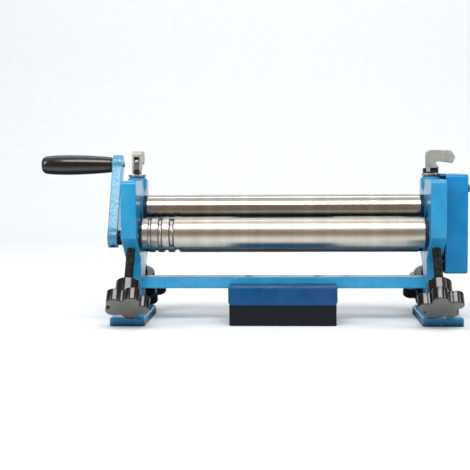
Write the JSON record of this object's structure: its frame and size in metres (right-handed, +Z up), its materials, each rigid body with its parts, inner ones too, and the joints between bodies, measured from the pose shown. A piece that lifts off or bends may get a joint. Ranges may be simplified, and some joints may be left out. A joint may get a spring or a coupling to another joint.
{
  "type": "slip roll machine",
  "caption": "Bench slip roll: three steel rolls between cast side frames, turned by a crank, with star-knob adjusters, wire grooves, a gear cover and clamp levers.",
  "frame": {"origin": "on the bench plane, midway between the two side frames and midway between the front and rear bench holes", "axes": "+X along the rolls from the crank to the gear cover, +Y to the back, +Z up from the bench"},
  "size_m": [0.5084, 0.2058, 0.1963],
  "materials": {
    "frame_blue": "glossy enamel over a cast skin",
    "cover_blue": "glossy enamel on sheet",
    "crank_blue": "hammered enamel on a casting",
    "roll_steel": "ground and lightly oiled",
    "bright_steel": "turned",
    "gear_steel": "machined, oiled",
    "zinc": "zinc plated",
    "black_oxide": "black oxide",
    "bush_black": "oiled bearing liner",
    "knob_black": "moulded, glossy",
    "grip_black": "moulded, glossy",
    "pad_rubber": "moulded"
  },
  "bodies": {
    "stand": {"side_frame_left": "frame_blue", "side_frame_right": "frame_blue", "tie_bar": "frame_blue", "tie_bar_bolts": "black_oxide", "centre_foot": "frame_blue", "centre_foot_pad": "pad_rubber", "centre_foot_screws": "black_oxide", "top_bush_left": "bush_black", "top_bush_right": "bush_black", "gear_cover": "cover_blue", "gear_cover_pillars": "bright_steel", "gear_cover_screws": "black_oxide", "lever_washer_left": "zinc", "lever_washer_right": "zinc"},
    "bending_carriage": {"bending_block_left": "bright_steel", "bending_block_right": "bright_steel", "bending_bush_left": "bush_black", "bending_bush_right": "bush_black"},
    "pinch_carriage": {"pinch_block_left": "bright_steel", "pinch_block_right": "bright_steel", "pinch_bush_left": "bush_black", "pinch_bush_right": "bush_black"},
    "bending_roller": {"bending_roll": "roll_steel"},
    "pinch_roller": {"pinch_roll": "roll_steel", "pinch_gear": "gear_steel", "pinch_gear_spacer": "gear_steel", "pinch_gear_key": "bright_steel", "pinch_gear_circlip": "black_oxide", "crank_arm": "crank_blue", "crank_grub_screw": "black_oxide", "crank_spacer": "black_oxide", "crank_key": "bright_steel", "grip_spindle": "bright_steel"},
    "top_roller": {"top_roll": "roll_steel", "top_gear": "gear_steel", "top_gear_spacer": "gear_steel", "top_gear_key": "bright_steel", "top_gear_circlip": "black_oxide"},
    "crank_grip": {"grip": "grip_black"},
    "bending_adjuster_left": {"bending_screw_left": "black_oxide", "bending_knob_left": "knob_black"},
    "bending_adjuster_right": {"bending_screw_right": "black_oxide", "bending_knob_right": "knob_black"},
    "pinch_adjuster_left": {"pinch_screw_left": "black_oxide", "pinch_knob_left": "knob_black"},
    "pinch_adjuster_right": {"pinch_screw_right": "black_oxide", "pinch_knob_right": "knob_black"},
    "lever_base_left": {"lever_stud_left": "zinc", "lever_pad_left": "zinc", "lever_pin_left": "zinc"},
    "lever_left": {"clamp_lever_left": "zinc"},
    "lever_base_right": {"lever_stud_right": "zinc", "lever_pad_right": "zinc", "lever_pin_right": "zinc"},
    "lever_right": {"clamp_lever_right": "zinc"}
  },
  "joints": [
    {"name": "bending_slide", "type": "slide", "parent": "stand", "child": "bending_carriage", "axis": [0, 0.5736, 0.8192], "range_m": [-0.0015, 0.014]},
    {"name": "pinch_slide", "type": "slide", "parent": "stand", "child": "pinch_carriage", "axis": [0, -0.5736, 0.8192], "range_m": [-0.002, 0.0005]},
    {"name": "bending_spin", "type": "hinge", "parent": "bending_carriage", "child": "bending_roller", "pos_m": [0, -0.0245, 0.1023], "axis": [1, 0, 0], "continuous": true},
    {"name": "pinch_spin", "type": "hinge", "parent": "pinch_carriage", "child": "pinch_roller", "pos_m": [0, 0.03396, 0.09334], "axis": [1, 0, 0], "continuous": true},
    {"name": "top_spin", "type": "hinge", "parent": "stand", "child": "top_roller", "pos_m": [0, 0.022, 0.1273], "axis": [1, 0, 0], "continuous": true},
    {"name": "grip_spin", "type": "hinge", "parent": "pinch_roller", "child": "crank_grip", "pos_m": [-0.25, 0.07921, 0.18027], "axis": [1, 0, 0], "continuous": true},
    {"name": "bending_screw_turn_left", "type": "hinge", "parent": "bending_carriage", "child": "bending_adjuster_left", "pos_m": [-0.17185, -0.0245, 0.1023], "axis": [0, 0.5736, 0.8192], "range_deg": [-361, 3361]},
    {"name": "bending_screw_turn_right", "type": "hinge", "parent": "bending_carriage", "child": "bending_adjuster_right", "pos_m": [0.17185, -0.0245, 0.1023], "axis": [0, 0.5736, 0.8192], "range_deg": [-361, 3361]},
    {"name": "pinch_screw_turn_left", "type": "hinge", "parent": "pinch_carriage", "child": "pinch_adjuster_left", "pos_m": [-0.17185, 0.03396, 0.09334], "axis": [0, -0.5736, 0.8192], "range_deg": [-481, 121]},
    {"name": "pinch_screw_turn_right", "type": "hinge", "parent": "pinch_carriage", "child": "pinch_adjuster_right", "pos_m": [0.17185, 0.03396, 0.09334], "axis": [0, -0.5736, 0.8192], "range_deg": [-481, 121]},
    {"name": "lever_swivel_left", "type": "hinge", "parent": "stand", "child": "lever_base_left", "pos_m": [-0.17185, 0.022, 0.16], "axis": [0, 0, 1], "range_deg": [-210, 30]},
    {"name": "lever_flip_left", "type": "hinge", "parent": "lever_base_left", "child": "lever_left", "pos_m": [-0.17185, 0.022, 0.183], "axis": [1, 0, 0], "range_deg": [0, 95]},
    {"name": "lever_swivel_right", "type": "hinge", "parent": "stand", "child": "lever_base_right", "pos_m": [0.17185, 0.022, 0.16], "axis": [0, 0, 1], "continuous": true},
    {"name": "lever_flip_right", "type": "hinge", "parent": "lever_base_right", "child": "lever_right", "pos_m": [0.17185, 0.022, 0.183], "axis": [0, -1, 0], "range_deg": [0, 95]}
  ],
  "couplings": [
    {"joint": "top_spin", "follows": "pinch_spin", "ratio": -1},
    {"joint": "bending_screw_turn_left", "follows": "bending_slide", "rad_per_m": 4188.8},
    {"joint": "bending_screw_turn_right", "follows": "bending_slide", "rad_per_m": 4188.8},
    {"joint": "pinch_screw_turn_left", "follows": "pinch_slide", "rad_per_m": 4188.8},
    {"joint": "pinch_screw_turn_right", "follows": "pinch_slide", "rad_per_m": 4188.8}
  ]
}
